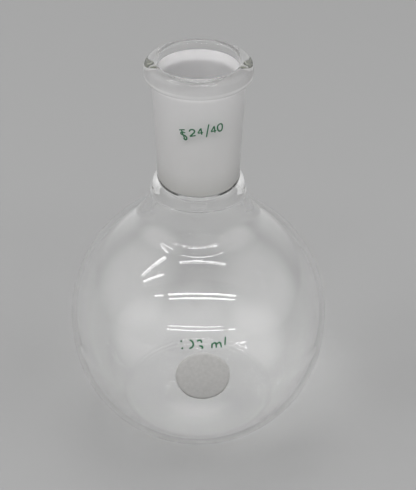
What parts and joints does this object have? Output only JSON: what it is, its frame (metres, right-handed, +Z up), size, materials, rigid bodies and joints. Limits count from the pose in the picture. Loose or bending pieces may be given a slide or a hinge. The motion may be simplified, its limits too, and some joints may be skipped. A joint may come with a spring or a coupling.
{
  "type": "flat bottom flask",
  "caption": "Blown glass flask with a globe body, a flat base to stand on and a short neck that ends in a tapered ground joint with a rounded lip.",
  "frame": {"origin": "centre of the seat ring, on the surface the flask stands on", "axes": "+Z up along the axis of the flask and out of its mouth; -Y towards the printed front"},
  "size_m": [0.085, 0.085, 0.1293],
  "materials": {
    "borosilicate_glass": "blown and fire-polished, clear; the taper inside the neck is ground matt; fired enamel marks on the front"
  },
  "bodies": {
    "root": {"flask": "borosilicate_glass"}
  },
  "joints": []
}
